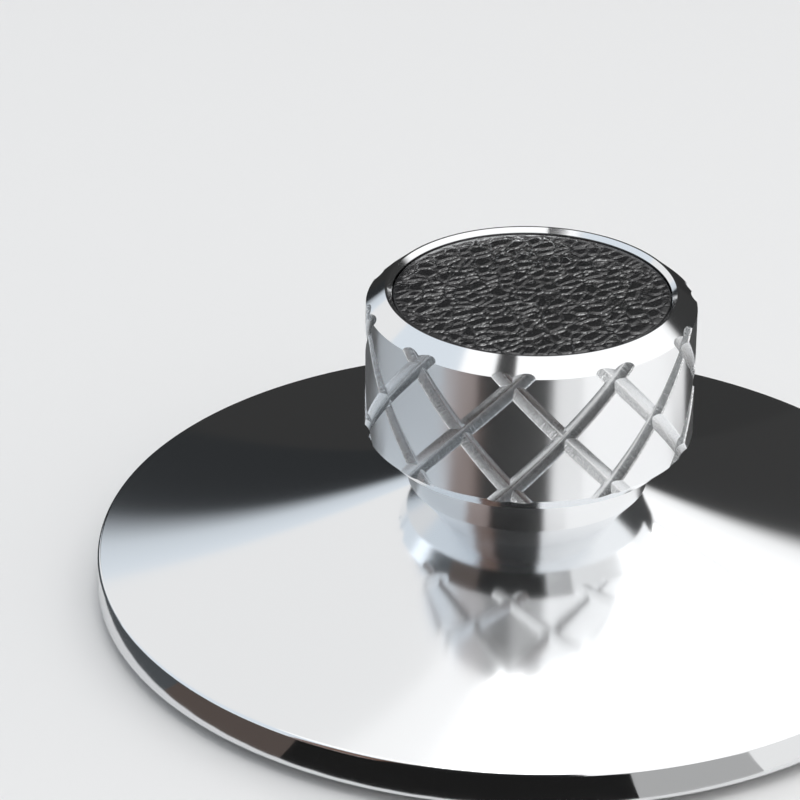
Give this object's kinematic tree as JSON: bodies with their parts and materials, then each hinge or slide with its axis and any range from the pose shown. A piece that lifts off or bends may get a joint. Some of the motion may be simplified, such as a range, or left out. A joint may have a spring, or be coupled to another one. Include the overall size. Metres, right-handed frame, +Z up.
{
  "type": "record weight clamp",
  "caption": "Turned metal record weight with a flared base, diamond-milled grip knob, leather inlay, rubber base pad and a blind spindle bore.",
  "frame": {"origin": "on the axis, at the level of the surface that the pad rests on", "axes": "+Z up along the axis of the turning and of the spindle bore; +X and +Y are horizontal, with -Y towards the camera"},
  "size_m": [0.082, 0.082, 0.032],
  "materials": {
    "polished_steel": "polished, with satin milled grooves",
    "black_leather": "pebbled grain, low sheen",
    "black_rubber": "matt"
  },
  "bodies": {
    "root": {"body": "polished_steel", "leather_inlay": "black_leather", "base_pad": "black_rubber"}
  },
  "joints": []
}
